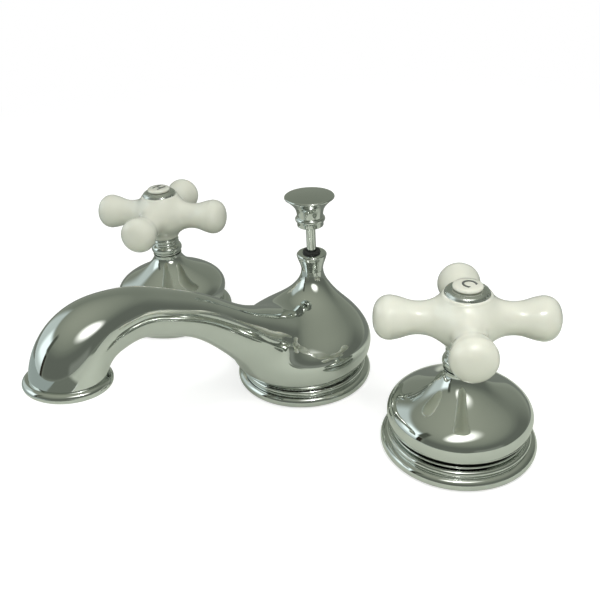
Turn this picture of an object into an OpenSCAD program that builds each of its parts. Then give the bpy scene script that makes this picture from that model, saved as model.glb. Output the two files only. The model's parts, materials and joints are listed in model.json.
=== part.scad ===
// Widespread basin faucet: a teapot-shaped spout with a lift rod, and two bells with cross handles.
// Frame: origin on the deck surface below the middle of the spout base, +Z up, spout toward -Y,
// hot side toward -X, cold side toward +X.

/* [Layout] */
// Distance from the spout to the hot handle
hot_spacing = 108.5; // [90:0.5:160]
// Distance from the spout to the cold handle
cold_spacing = 94.7; // [90:0.5:160]
// Thickness of the deck or counter that the faucet is clamped to
deck_thickness = 25; // [12:1:30]

/* [Base flanges] */
// Outer radius of the stepped base flanges
flange_r = 35.4; // [35:0.1:37]
// Height of the stepped part of the base flanges
flange_h = 10.2; // [10:0.1:10.6]

/* [Bells] */
// Largest radius of the bells
bell_r = 32.6; // [32.4:0.1:33.4]
// Wall thickness of the bells
bell_wall = 2; // [1.6:0.1:2.4]

/* [Cross handles] */
// Distance from the handle axis to the middle of each bulb
arm_reach = 31.9; // [30:0.1:40]
// Radius of the bulb at the end of each arm
bulb_r = 9.75; // [8.5:0.05:10.5]
// Radius of the narrowest part of each arm
arm_waist_r = 6.7; // [5.5:0.1:7.5]
// Turn of the hot cross when the tap is closed
hot_angle = 27.5; // [0:0.5:90]
// Turn of the cold cross when the tap is closed
cold_angle = 36.2; // [0:0.5:90]

/* [Spout] */
// Radius of the rolled bead at the outlet
outlet_r = 17.05; // [16.8:0.05:18]
// Radius of the waterway inside the spout
waterway_r = 6; // [4:0.1:6.2]
// Width over which belly, neck and spout flow into each other
blend_width = 9; // [6:0.5:10]
// Segments along each span of the spout centre line
span_steps = 4; // [3:1:6]

/* [Lift rod] */
// Radius of the lift rod
rod_r = 2.38; // [2:0.01:2.4]
// Length of the lift rod below the deck surface
rod_drop = 120; // [100:1:200]
// Radius of the knob on the lift rod
knob_r = 12.9; // [11:0.1:14]

/* [Hidden] */

$fn = 96;
// overlap that keeps joined shapes from only touching
join = 0.5;
// running fit between parts that slide or turn on each other
fit = 0.06;
// gap between parts that pass each other without touching
clear = 0.4;

// base flange
flange_floor = 6;
bead_big = flange_h * 0.275;
bead_small = flange_h * 0.1125;
gasket_t = 1.5;
gasket_in_r = 18;
gasket_out_r = flange_r - 4.9;

// bell: it stands on the ledge and is centred by a ring inside its mouth
ledge_r = flange_r - 5.6;
ledge_z = 12.4;
mouth_r = bell_r - 4.1;
centring_t = 1.9;
centring_h = 2;
mouth_h = centring_h + 0.6;
bell_top = 41.2;
throat_r = 8.2;

// valve
shank_r = 13;
collar_r = 20;
collar_top = 9;
body_top = 14;
cartridge_r = 9.5;
cartridge_skirt_z = 6;
disc_r = 7.6;
disc_z = -12;
disc_t = 3.5;
disc_port_r = 1.4;
disc_port_place = 3;
stem_r = 4;
stem_foot_t = 3;
guide_r = 6.2;
guide_top = 24;
web_t = 3;
bonnet_af = 30;
sleeve_r = 7.5;
sleeve_top = 36.3;

// water connections: a boss with a threaded end of the usual outside diameter
inlet_r = 10.48;
inlet_len = 16;
inlet_bore_r = 6;
port_r = 4.6;
union_r = 8.33;
union_len = 12;
union_bore_r = 5.5;
boss_r = 10;
side_z = -54;
side_boss_reach = 18;
inlet_z = side_z - boss_r - 1;

// nuts and washers under the deck
washer_r = 24;
rubber_t = 3;
steel_t = 1.5;
nut_t = 8;
nut_af = 34;
washer_gap = 0.3;
rubber_z = -deck_thickness - rubber_t;
steel_z = rubber_z - steel_t;
nut_z = steel_z - nut_t;

// handle: ferrule, porcelain, stem flats, screw, ring and button
ferrule_z = 41.6;
ferrule_bead_r = 2.75;
ferrule_groove_r = 0.95;
hub_z = 51.5;
arm_z = 65.7;
hub_top = 76.4;
hub_r = 10.2;
bulb_length = 7.6;
flats_z = 54;
flats_half = 3;
stem_top = 66;
web_top = 71;
screw_r = 2.5;
screw_z = 56;
screw_head_r = 4.5;
screw_head_t = 3;
screw_cross_t = 1;
recess_r = 7;
recess_z = 74.5;
index_bore_r = 5.6;
ring_r = 9.6;
ring_rim_z = 77.7;
ring_top = 80.4;
button_r = 6.4;
button_edge = 0.9;
button_top = 82.5;

// spout: foot, shank and tee
foot_r = 26.5;
spout_shank_y = -9.5;
spout_shank_r = 8.33;
spout_shank_top = 22;
spout_nut_af = 22;
spout_opening_r = spout_shank_r - spout_shank_y + 1.2;
o_ring_r = 1.05;
o_ring_z = 7.1;
tee_r = 11;
tee_socket = 10;
tee_neck = 16;
tee_boss_reach = 14;
tee_z = inlet_z - inlet_len - tee_r;
tee_top = tee_z + tee_neck;

// spout: neck, lip and outlet
neck_y = 9.6;
neck_z = 54.5;
neck_r = 6;
lip_r = 7.65;
lip_round = 1.15;
lip_z = 66.9;
outlet_centre = [0, -133, 65.8];
outlet_tilt = -7.9;
outlet_bore_r = 12.4;
outlet_bore_depth = 9;
bead_r = 1.35;
housing_in_r = 10.8;
housing_z = 0.6;
housing_top = 7;
housing_lip_r = 9.4;
housing_lip_t = 1.2;
screen_z = 2;
screen_t = 1.2;
screen_pitch = 2.6;
screen_hole = 1.8;

// lift rod and knob
rod_hole_r = 2.9;
rod_top = 88;
rod_end_length = 70;
rod_groove_w = 1.2;
rod_groove_depth = 0.35;
rod_pin_hole_r = 0.9;
rod_pin_hole_place = 6;
bushing_r = 4.5;
bushing_z = 61;
bushing_top = 68.2;
bushing_round = 0.5;
knob_z = 81.6;
knob_neck_r = 6.6;
knob_bead_r = 1.4;
knob_edge_r = 0.55;
knob_top = 98.2;

// Profile of belly and neck: height, radius
belly_profile = [
    [flange_h, 31.6], [16, 35.2], [22.5, 36.6], [29, 34.2], [34, 28.8],
    [39, 21.3], [44, 14.4], [49, 9.4], [54.5, 6.2], [57.5, 5.6]
];
// Set-back of the belly and neck axis: height, distance toward the back
belly_setback = [[flange_h, -0.9], [20, -1.5], [30, -0.8], [38, 3.8], [46, 8], [52, 9.3], [57.5, 9.6]];
// Centre line of the spout: distance forward, height, radius
spout_line = [
    [8, 19, 22], [20, 28, 18.5], [31.4, 35.9, 15.8], [40, 42.5, 13.4], [49, 50, 11.5],
    [67.3, 65, 10.1], [86.6, 75.8, 10.6], [99.5, 81, 11.3], [111, 82.2, 12.5],
    [121, 80.4, 13.6], [128.3, 76, 14.6], [132.3, 69.5, 15.1], [133.8, 61.5, 15.3]
];
// Neck and lip: height, radius
neck_profile = [[57.5, 5.5], [60, 5.9], [62.5, 6.7], [64.4, 7.4]];
// Outside of a bell: share of its height, share of the flare from throat to widest radius
bell_shape = [
    [0, 0.94], [0.05, 0.975], [0.142, 1], [0.247, 0.971], [0.351, 0.881], [0.455, 0.725],
    [0.559, 0.508], [0.663, 0.303], [0.767, 0.143], [0.872, 0.041], [0.958, 0], [1, 0.008]
];
// Upright core of a cross handle: height, radius
hub_profile = [
    [hub_z, 7.7], [54, 8.5], [57, 10.2], [60.5, 12.4], [arm_z, 13.2], [70, 12.4],
    [73.5, 11], [hub_top, hub_r]
];
// Arms of a cross handle: distance from the axis, radius
arm_profile = [
    [0, 9.6], [8, 9], [13, 7.7], [19, arm_waist_r], [24, arm_waist_r + 0.9], [28, bulb_r - 0.9],
    [arm_reach, bulb_r]
];
// Flare of the lift knob: height above its lower end, radius
knob_profile = [
    [5.6, knob_neck_r - 0.1], [7.9, knob_neck_r + 0.2], [10.4, knob_neck_r + 1.3],
    [12.6, mix(knob_neck_r, knob_r, 0.5)], [14.6, knob_r - 0.5]
];
// The spout is wider than high where it leaves the belly
root_widening = 0.18;
root_from = 25;
root_to = 60;

// Sections of the spout body: the last belly section lies just under the saddle before the neck
saddle_y = 10;
ring_points = 64;
waist = ring_points / 4;
bridge_points = 15;
limb_points = 2 * waist + 1 + bridge_points;
belly_rings = 16;
neck_rings = 8;
blend_rings = 10;
solve_steps = 13;
section_front = 40;
section_back = -18;
cut_front_z = 34.6;
cut_back_z = 49.6;
saddle_clear_z = 46.2;
neck_start_back_z = 51;

// Smooth curve through the points of a table, read at x from column c
function seg_of(t, x, i = 0) = i >= len(t) - 2 || x < t[i + 1][0] ? i : seg_of(t, x, i + 1);
function slope_at(t, i, c) =
    let (a = max(i - 1, 0), b = min(i + 1, len(t) - 1))
    (t[b][c] - t[a][c]) / (t[b][0] - t[a][0]);
function curve(t, x, c = 1) =
    let (
        i = seg_of(t, x),
        h = t[i + 1][0] - t[i][0],
        u = (x - t[i][0]) / h
    )
    (2 * u ^ 3 - 3 * u ^ 2 + 1) * t[i][c] + (u ^ 3 - 2 * u ^ 2 + u) * h * slope_at(t, i, c)
    + (3 * u ^ 2 - 2 * u ^ 3) * t[i + 1][c] + (u ^ 3 - u ^ 2) * h * slope_at(t, i + 1, c);
function samples(t, steps) =
    let (x0 = t[0][0], x1 = t[len(t) - 1][0])
    [for (k = [0:steps]) let (x = x0 + (x1 - x0) * k / steps) [x, curve(t, x)]];

// Centre line with extra points between the named ones
function blend4(a, b, c, d, u) =
    (2 * b + (c - a) * u + (2 * a - 5 * b + 4 * c - d) * u ^ 2 + (3 * b - a - 3 * c + d) * u ^ 3) / 2;
spine = let (
        n = len(spout_line) - 1,
        t = concat([2 * spout_line[0] - spout_line[1]], spout_line, [2 * spout_line[n] - spout_line[n - 1]])
    )
    concat(
        [for (i = [0:n - 1], k = [0:span_steps - 1])
            blend4(t[i], t[i + 1], t[i + 2], t[i + 3], k / span_steps)],
        [spout_line[n]]
    );

// Tables read by the distance functions
table_steps = 60;
radius_table = samples(belly_profile, table_steps);
setback_table = samples(belly_setback, table_steps);
slope_table = [
    for (k = [0:table_steps - 1])
    let (
        a = radius_table[k],
        b = radius_table[k + 1],
        m = (b[1] - a[1]) / (b[0] - a[0])
    )
    [(a[0] + b[0]) / 2, 1 / sqrt(1 + m ^ 2)]
];

// Distance of a point from the belly and neck
function belly_gap(p) =
    (norm([p[0], p[1] - lookup(p[2], setback_table)]) - lookup(p[2], radius_table))
    * lookup(p[2], slope_table);

// Distance of a point from the spout, as the nearest of its tapered spans
root_spans = 4 * span_steps + 6;
function span_gap(p, i) =
    let (
        a = [0, -spine[i][0], spine[i][1]],
        d = [0, -spine[i + 1][0], spine[i + 1][1]] - a,
        t = min(max(((p - a) * d) / (d * d), 0), 1)
    )
    norm(p - a - t * d) - spine[i][2] - t * (spine[i + 1][2] - spine[i][2]);
function ease(u) = let (v = min(max(u, 0), 1)) v * v * (3 - 2 * v);
function spout_gap(p) =
    let (
        wide = 1 + root_widening * (1 - ease((-p[1] - root_from) / (root_to - root_from))),
        q = [p[0] / wide, p[1], p[2]]
    )
    min([for (i = [0:root_spans]) span_gap(q, i)]);

// Distance from both, blended where they meet
function body_gap(p) =
    let (
        a = belly_gap(p),
        b = spout_gap(p),
        h = max(blend_width - abs(a - b), 0) / blend_width
    )
    min(a, b) - h * h * blend_width / 4;

// Point on the skin, looked for from inside point c along direction d
function skin(c, d, near, far, steps = solve_steps) =
    let (mid = (near + far) / 2)
    steps == 0 ? c + d * mid
    : body_gap(c + d * mid) < 0 ? skin(c, d, mid, far, steps - 1)
    : skin(c, d, near, mid, steps - 1);

function mix(a, b, u) = a + (b - a) * u;
function unit(v) = v / norm(v);

// Belly sections, from level at the base to the inclined cut through the saddle
function belly_section(k) =
    let (
        u = k / belly_rings,
        front = [0, -section_front, mix(belly_profile[0][0], cut_front_z, u)],
        back = [0, -section_back, mix(belly_profile[0][0], cut_back_z, u)],
        along = unit(front - back),
        c = back + along * ((saddle_y * u - section_back) / -along[1])
    )
    [for (i = [0:ring_points - 1])
        let (a = 360 * i / ring_points)
        skin(c, [sin(a), 0, 0] + along * cos(a), 0, 60)];

// Ridge across the saddle, from one waist point of the cut to the other
function ridge(cut) =
    let (a = cut[waist], b = cut[3 * waist])
    [for (i = [1:bridge_points])
        let (s = mix(a, b, i / (bridge_points + 1)))
        skin([s[0], s[1], s[2] - 1], [0, 0, 1], 0, 12)];
function reversed(v) = [for (i = [len(v) - 1:-1:0]) v[i]];

// Angles of the first limb section, as seen from its centre, relaxed to even steps
function limb_angle(p, c, across, along) = atan2((p - c) * across, (p - c) * along);
function even_angle(i) = (i - waist) * 360 / limb_points;
function wrapped(a, i) = i > 2 * waist && a < 0 ? a + 360 : a;

// One limb section; it never reaches back over the saddle
function limb_section(c, across, along, angles, side) =
    [for (a = angles)
        let (
            d = across * sin(a) + along * cos(a),
            toward_saddle = side * d[1],
            room = side * (-saddle_y - c[1]),
            far = toward_saddle > 0.01 ? min(room / toward_saddle, 40) : 40
        )
        skin(c, d, 0, far)];

// Spout sections: first solved against the blended skin, then plain circles on the centre line
front_first = 2 * span_steps + 1;
spout_count = len(spine) - 1 - front_first;
function tangent(i) =
    let (
        a = spine[max(i - 1, 0)],
        b = spine[min(i + 1, len(spine) - 1)]
    )
    unit([0, a[0] - b[0], b[1] - a[1]]);
cut_tilt = atan2(cut_back_z - cut_front_z, section_front - section_back);
function spout_section(k, start) =
    let (
        i = front_first + k,
        c = [0, -spine[i][0], spine[i][1]],
        own = tangent(i),
        own_tilt = atan2(-own[1], own[2]),
        tilt = mix(cut_tilt, own_tilt, ease(k / (blend_rings - 3))),
        along = [0, -cos(tilt), -sin(tilt)],
        first = [for (j = [0:limb_points - 1])
            wrapped(limb_angle(start[j], c, [1, 0, 0], along), j)],
        angles = [for (j = [0:limb_points - 1]) mix(first[j], even_angle(j), ease(k / blend_rings))]
    )
    k <= blend_rings ? limb_section(c, [1, 0, 0], along, angles, 1)
    : [for (a = angles) c + spine[i][2] * ([sin(a), 0, 0] + along * cos(a))];

// Neck sections, from just above the saddle to the level end below the lip
function neck_section(k, start) =
    let (
        u = (k - 1) / (neck_rings - 1),
        front = [0, -saddle_y, mix(saddle_clear_z, neck_z, u)],
        back = [0, -section_back, mix(neck_start_back_z, neck_z, u)],
        along = unit(back - front),
        y = mix(4, neck_y, u),
        c = front + along * ((y + saddle_y) / along[1]),
        first = [for (j = [0:limb_points - 1])
            wrapped(limb_angle(start[j], c, [-1, 0, 0], along), j)],
        angles = [for (j = [0:limb_points - 1]) mix(first[j], even_angle(j), ease(k / neck_rings))]
    )
    limb_section(c, [-1, 0, 0], along, angles, -1);

// Point numbers that make up each section
function numbers(first, n) = [for (i = [0:n - 1]) first + i];
cut_first = belly_rings * ring_points;
ridge_first = cut_first + ring_points;
spout_first = ridge_first + bridge_points;
neck_first = spout_first + spout_count * limb_points;
belly_numbers = [for (k = [0:belly_rings]) numbers(k * ring_points, ring_points)];
ridge_numbers = numbers(ridge_first, bridge_points);
spout_numbers = concat(
    [concat([for (i = [-waist:waist]) cut_first + (i + ring_points) % ring_points], ridge_numbers)],
    [for (k = [0:spout_count - 1]) numbers(spout_first + k * limb_points, limb_points)]
);
neck_numbers = concat(
    [concat([for (i = [waist:3 * waist]) cut_first + i], reversed(ridge_numbers))],
    [for (k = [0:neck_rings - 1]) numbers(neck_first + k * limb_points, limb_points)]
);

// Triangles between neighbouring sections
function bands(rings) =
    [for (k = [0:len(rings) - 2], i = [0:len(rings[k]) - 1])
        let (
            j = (i + 1) % len(rings[k]),
            a = rings[k],
            b = rings[k + 1]
        )
        each [[a[i], b[j], a[j]], [a[i], b[i], b[j]]]];

// Blended skin of belly, spout and neck, closed by flat ends
module spout_skin() {
    belly_sections = [for (k = [0:belly_rings]) belly_section(k)];
    cut_points = concat(
        [for (section = belly_sections) each section],
        ridge(belly_sections[belly_rings])
    );
    front_start = [for (i = spout_numbers[0]) cut_points[i]];
    back_start = [for (i = neck_numbers[0]) cut_points[i]];
    points = concat(
        cut_points,
        [for (k = [1:spout_count]) each spout_section(k, front_start)],
        [for (k = [1:neck_rings]) each neck_section(k, back_start)]
    );
    faces = concat(
        [belly_numbers[0]],
        bands(belly_numbers),
        bands(spout_numbers),
        bands(neck_numbers),
        [reversed(spout_numbers[spout_count])],
        [reversed(neck_numbers[neck_rings])]
    );
    polyhedron(points, faces);
}

// Outline turned around the vertical axis
module lathe(points) {
    rotate_extrude() polygon(points);
}

// Ring between two radii
module ring(r1, r2, z1, z2) {
    translate([0, 0, z1])
        difference() {
            cylinder(r = r2, h = z2 - z1);
            translate([0, 0, -1]) cylinder(r = r1, h = z2 - z1 + 2);
        }
}

// Points on an arc in a profile: centre, radius, first and last angle
function arc(cr, cz, r, a1, a2, n = 8) =
    [for (i = [0:n]) let (a = a1 + (a2 - a1) * i / n) [cr + r * cos(a), cz + r * sin(a)]];

// Stepped base flange: three beads outside, a recess for the gasket below, a floor for the clamp;
// raised, it also has the ledge and the centring ring for a bell
module base_flange(bore, raised) {
    inside = raised ? mouth_r - fit - centring_t : foot_r + fit;
    ledge = [
        [ledge_r, flange_h], [ledge_r, ledge_z], [mouth_r - fit, ledge_z],
        [mouth_r - fit, ledge_z + centring_h], [inside, ledge_z + centring_h]
    ];
    color("silver")
        lathe(concat(
            [[gasket_out_r + clear, 0]],
            arc(flange_r - bead_big, bead_big, bead_big, -90, 78, 12),
            arc(flange_r - bead_big - bead_small, 2 * bead_big + bead_small, bead_small, -70, 80, 6),
            arc(flange_r - bead_big - 2.2 * bead_small, 2 * bead_big + 3 * bead_small, bead_small, -70, 90, 6),
            raised ? ledge : [[inside, flange_h]],
            [[inside, flange_floor], [bore, flange_floor], [bore, gasket_t],
             [gasket_out_r + clear, gasket_t]]
        ));
}

module gasket() {
    color("dimgray") ring(gasket_in_r, gasket_out_r, 0, gasket_t);
}

// Bell with an open inside; its neck slides over the sleeve of the bonnet nut
module bell() {
    steps = 36;
    outside = [
        for (p = samples(bell_shape, steps))
        [mix(throat_r, bell_r, p[1]), mix(ledge_z, bell_top, p[0])]
    ];
    inside = [
        for (i = [steps:-1:0])
        let (
            z = outside[i][1],
            a = outside[max(i - 1, 0)],
            b = outside[min(i + 1, steps)],
            slope = (b[0] - a[0]) / (b[1] - a[1]),
            r = outside[i][0] - bell_wall * sqrt(1 + slope ^ 2)
        )
        if (z > ledge_z + mouth_h && z < sleeve_top)
        [max(r, sleeve_r + fit), z]
    ];
    color("silver")
        lathe(concat(
            outside,
            [[stem_r + clear, bell_top], [stem_r + clear, sleeve_top + clear],
             [sleeve_r + fit, sleeve_top + clear]],
            inside,
            [[mouth_r, ledge_z + mouth_h], [mouth_r, ledge_z]]
        ));
}

// Boss with a threaded end, seen along its own axis, which points up
module union_end(reach) {
    cylinder(r = boss_r, h = reach);
    cylinder(r = union_r, h = reach + union_len);
}

// Valve body: water comes up the middle tube, passes the discs, goes down around that tube
// and leaves at the back
module valve_body() {
    inlet_end = inlet_z - inlet_len;
    channel_z = side_z - union_r + 2;
    pocket = cartridge_r + fit;
    color("goldenrod")
        difference() {
            union() {
                lathe([
                    [0, inlet_end], [inlet_r, inlet_end], [inlet_r, inlet_z],
                    [shank_r, inlet_z], [shank_r, flange_floor], [collar_r, flange_floor],
                    [collar_r, collar_top], [shank_r, collar_top], [shank_r, body_top], [0, body_top]
                ]);
                translate([0, 0, side_z]) rotate([-90, 0, 0]) union_end(side_boss_reach);
            }
            lathe([
                [0, inlet_end - 1], [inlet_bore_r, inlet_end - 1], [inlet_bore_r, inlet_z - 2],
                [port_r, inlet_z - 1], [port_r, disc_z - join], [guide_r, disc_z - join],
                [guide_r, channel_z], [pocket, channel_z], [pocket, body_top + 1],
                [0, body_top + 1], [0, disc_z], [0, disc_z - join]
            ]);
            translate([0, 0, side_z])
                rotate([-90, 0, 0])
                    translate([0, 0, guide_r + 1])
                        cylinder(r = union_bore_r, h = side_boss_reach + union_len);
        }
    color("goldenrod") ring(port_r, guide_r, side_z - union_r, disc_z);
}

// Cartridge body: seal above, narrower below with two side windows
module cartridge() {
    window = [4, 9, 8];
    color("gainsboro")
        difference() {
            union() {
                ring(disc_r + fit, cartridge_r - 0.9, disc_z, cartridge_skirt_z);
                ring(disc_r + fit, cartridge_r, cartridge_skirt_z, body_top);
                ring(stem_r + fit, cartridge_r + 1.9, body_top, body_top + web_t);
                ring(stem_r + fit, guide_r, body_top + web_t, guide_top);
            }
            for (side = [0, 180])
                rotate([0, 0, side])
                    translate([disc_r - 1, -window[1] / 2, -window[2] / 2]) cube(window);
        }
}

// Ceramic disc with two ports; the rotary one closes or opens the fixed one
module ceramic_disc(z) {
    color("white")
        difference() {
            translate([0, 0, z]) cylinder(r = disc_r - clear / 4, h = disc_t);
            for (side = [-1, 1])
                translate([side * disc_port_place, 0, z - 1]) cylinder(r = disc_port_r, h = disc_t + 2);
        }
}
module fixed_disc() {
    ceramic_disc(disc_z);
}
module rotary_disc() {
    rotate([0, 0, 90]) ceramic_disc(disc_z + disc_t);
}

// Two flats on the upper end of the stem carry the turn into the handle
module flats(gap) {
    intersection() {
        cylinder(r = stem_r + gap, h = stem_top - flats_z + gap);
        translate([-stem_r - 1, -flats_half - gap, -1])
            cube([2 * stem_r + 2, 2 * (flats_half + gap), stem_top]);
    }
}

module stem() {
    foot_z = disc_z + 2 * disc_t;
    rise = foot_z + stem_foot_t - join;
    color("goldenrod")
        difference() {
            union() {
                translate([0, 0, foot_z]) cylinder(r = disc_r - clear / 4, h = stem_foot_t);
                translate([0, 0, rise]) cylinder(r = stem_r, h = flats_z - rise);
                translate([0, 0, flats_z - join]) flats(0);
                translate([0, 0, flats_z]) flats(0);
            }
            translate([0, 0, screw_z - 1]) cylinder(r = screw_r + fit, h = stem_top);
        }
}

// Six-sided body with a bore
module hex_nut(af, bore, z, h) {
    difference() {
        translate([0, 0, z]) cylinder(r = af / sqrt(3), h = h, $fn = 6);
        translate([0, 0, z - 1]) cylinder(r = bore, h = h + 2);
    }
}

// Bonnet nut: skirt on the valve body, web on the cartridge head, sleeve around the stem
module bonnet_nut() {
    head_top = body_top + web_t;
    color("goldenrod") {
        hex_nut(bonnet_af, shank_r + fit, collar_top, head_top - collar_top);
        hex_nut(bonnet_af, guide_r + fit, head_top, web_t);
        ring(guide_r + fit, sleeve_r, head_top + web_t - join, sleeve_top);
    }
}

module rubber_washer() {
    color("dimgray") ring(shank_r + washer_gap, washer_r, rubber_z, -deck_thickness);
}
module steel_washer() {
    color("lightgray") ring(shank_r + washer_gap, washer_r, steel_z, rubber_z);
}
module lock_nut() {
    color("goldenrod") hex_nut(nut_af, shank_r + fit, nut_z, nut_t);
}

// Grooved ferrule below the porcelain: one bead and two grooved rings
module ferrule() {
    seat_r = 6.4;
    groove_centre_r = 6.7;
    bead_z = ferrule_z + ferrule_bead_r;
    groove_z = bead_z + 3.55;
    color("silver")
        lathe(concat(
            [[stem_r + fit, ferrule_z], [seat_r, ferrule_z]],
            arc(seat_r - 0.2, bead_z, ferrule_bead_r, -80, 62, 12),
            arc(groove_centre_r, groove_z, ferrule_groove_r, -60, 60, 5),
            arc(groove_centre_r, groove_z + 2 * ferrule_groove_r, ferrule_groove_r, -60, 60, 5),
            [[hub_profile[0][1], hub_z], [stem_r + fit, hub_z]]
        ));
}

// Porcelain cross: upright core and two crossing bars with bulbs
module cross_bar() {
    half = concat(
        [for (p = samples(arm_profile, 20)) [p[1], p[0]]],
        [for (a = [80:-10:0]) [bulb_r * sin(a), arm_reach + bulb_length * cos(a)]]
    );
    rotate([0, 90, 0])
        lathe(concat([for (i = [len(half) - 1:-1:1]) [half[i][0], -half[i][1]]], half));
}
module cross() {
    color("ivory")
        difference() {
            union() {
                lathe(concat(
                    [[0, hub_z]],
                    [for (p = samples(hub_profile, 20)) [p[1], p[0]]],
                    [[0, hub_top]]
                ));
                translate([0, 0, arm_z]) cross_bar();
                translate([0, 0, arm_z]) rotate([0, 0, 90]) cross_bar();
            }
            translate([0, 0, hub_z - 1]) cylinder(r = stem_r + fit, h = flats_z - hub_z + 1);
            translate([0, 0, flats_z - join]) flats(fit);
            translate([0, 0, flats_z]) flats(fit);
            translate([0, 0, stem_top - 1]) cylinder(r = screw_r + washer_gap, h = web_top);
            translate([0, 0, web_top]) cylinder(r = screw_head_r + clear, h = hub_top);
            translate([0, 0, recess_z]) cylinder(r = recess_r, h = hub_top);
        }
}

// Screw with a cross recess that holds the handle on the stem
module handle_screw() {
    slot = [2 * screw_head_r - 3.8, screw_cross_t, screw_head_t];
    color("lightgray")
        difference() {
            union() {
                translate([0, 0, web_top]) cylinder(r = screw_head_r, h = screw_head_t);
                translate([0, 0, screw_z]) cylinder(r = screw_r, h = web_top - screw_z + join);
            }
            for (a = [0, 90])
                rotate([0, 0, a])
                    translate([-slot[0] / 2, -slot[1] / 2, web_top + screw_head_t / 2]) cube(slot);
        }
}

// Index ring: a neck in the recess of the porcelain, a short wall and a sloping top
module index_ring() {
    color("silver")
        lathe([
            [index_bore_r, recess_z], [recess_r - fit, recess_z], [recess_r - fit, hub_top],
            [ring_r - 0.5, hub_top], [ring_r - 0.1, hub_top + 0.5], [ring_r, ring_rim_z - 0.3],
            [ring_r - 0.2, ring_rim_z + 0.2], [button_r + 1.1, ring_top - 0.3],
            [button_r + 0.7, ring_top], [index_bore_r, ring_top]
        ]);
}

// Domed button that is pressed into the index ring
module index_button() {
    foot_z = recess_z + 1;
    color("ivory")
        lathe(concat(
            [[0, foot_z], [index_bore_r - fit, foot_z], [index_bore_r - fit, ring_top],
             [button_r - 0.3, ring_top]],
            arc(button_r - button_edge, ring_top + button_edge, button_edge, -50, 60, 5),
            [[button_r / 2, button_top - 0.15], [0, button_top]]
        ));
}

// Places on the spout: the axis of its shank, the axis of the lift rod, and the frame of the outlet,
// with the origin in the middle of the rim and z up along the outflow axis
module at_shank() {
    translate([0, spout_shank_y, 0]) children();
}
module at_rod() {
    translate([0, neck_y, 0]) children();
}
module at_outlet() {
    translate(outlet_centre) rotate([outlet_tilt, 0, 0]) children();
}

// Waterway from the shank through the belly and along the centre line to the outlet
module waterway() {
    path = concat(
        [[0, spout_shank_y, spout_shank_top - 1], [0, spout_shank_y - 3, 27]],
        [for (i = [2:len(spout_line) - 4]) [0, -spout_line[i][0], spout_line[i][1]]],
        [outlet_centre + [0, 0, outlet_bore_depth - 2]]
    );
    for (i = [0:len(path) - 2]) {
        d = path[i + 1] - path[i];
        translate(path[i])
            rotate([atan2(-d[1], d[2]), 0, 0]) {
                if (i > 0) sphere(r = waterway_r + 0.3, $fn = 48);
                cylinder(r = waterway_r, h = norm(d));
            }
    }
}

// Spout body: blended skin, neck with lip, foot in the flange, rolled bead, and its bores
module spout_body() {
    color("silver")
        difference() {
            union() {
                difference() {
                    spout_skin();
                    at_outlet() translate([0, 0, -20]) cylinder(r = 40, h = 20);
                }
                translate([0, 0, flange_floor]) cylinder(r = foot_r, h = flange_h - flange_floor + join);
                at_rod()
                    lathe(concat(
                        [[0, saddle_clear_z], [neck_r - 1, saddle_clear_z],
                         [neck_r - 1, neck_z - join], [neck_r, neck_z - join]],
                        [for (p = samples(neck_profile, 8)) [p[1], p[0]]],
                        arc(lip_r - lip_round, lip_z - lip_round, lip_round, 0, 90, 6),
                        [[0, lip_z]]
                    ));
                at_outlet()
                    rotate_extrude() translate([outlet_r - bead_r, 0]) circle(r = bead_r, $fn = 32);
            }
            at_shank()
                translate([0, 0, flange_floor - 1])
                    cylinder(r = spout_shank_r + fit, h = spout_shank_top - flange_floor + 1);
            at_shank()
                ring(spout_shank_r - 1, spout_shank_r + 2 * o_ring_r + clear, flange_floor - 1,
                     o_ring_z + o_ring_r);
            translate([0, neck_y, flange_floor - 1]) cylinder(r = rod_hole_r, h = lip_z);
            translate([0, neck_y, bushing_z]) cylinder(r = bushing_r, h = lip_z);
            at_outlet() translate([0, 0, -5]) cylinder(r = outlet_bore_r, h = outlet_bore_depth + 5);
            waterway();
        }
}

module spout_shank() {
    color("goldenrod") at_shank() ring(waterway_r, spout_shank_r, tee_top - tee_socket, spout_shank_top);
}

module spout_o_ring() {
    color("dimgray")
        at_shank()
            translate([0, 0, o_ring_z])
                rotate_extrude() translate([spout_shank_r + o_ring_r + 0.15, 0]) circle(r = o_ring_r, $fn = 24);
}

// Gasket and washers of the spout: discs with one hole for the shank and one for the rod
module spout_plate(r, z, h) {
    difference() {
        translate([0, 0, z]) cylinder(r = r, h = h);
        at_shank() translate([0, 0, z - 1]) cylinder(r = spout_shank_r + washer_gap, h = h + 2);
        translate([0, neck_y, z - 1]) cylinder(r = rod_r + 2 * washer_gap, h = h + 2);
    }
}
module spout_gasket() {
    color("dimgray") spout_plate(gasket_out_r, 0, gasket_t);
}
module spout_rubber_washer() {
    color("dimgray") spout_plate(washer_r, rubber_z, rubber_t);
}
module spout_steel_washer() {
    color("lightgray") spout_plate(washer_r, steel_z, steel_t);
}
module spout_lock_nut() {
    color("goldenrod") at_shank() hex_nut(spout_nut_af, spout_shank_r + fit, nut_z, nut_t);
}

// Inlet tee on the lower end of the shank, one arm for the hose of each valve
module spout_tee() {
    bottom = tee_z - tee_r;
    through = 2 * (tee_boss_reach + union_len + 1);
    color("goldenrod")
        at_shank()
            difference() {
                union() {
                    translate([0, 0, bottom]) cylinder(r = tee_r, h = tee_top - bottom);
                    for (side = [-90, 90])
                        translate([0, 0, tee_z]) rotate([0, side, 0]) union_end(tee_boss_reach);
                }
                translate([0, 0, tee_top - tee_socket])
                    cylinder(r = spout_shank_r + fit, h = tee_socket + 1);
                translate([0, 0, tee_z]) cylinder(r = waterway_r, h = tee_neck);
                translate([-through / 2, 0, tee_z])
                    rotate([0, 90, 0]) cylinder(r = union_bore_r, h = through);
            }
}

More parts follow.
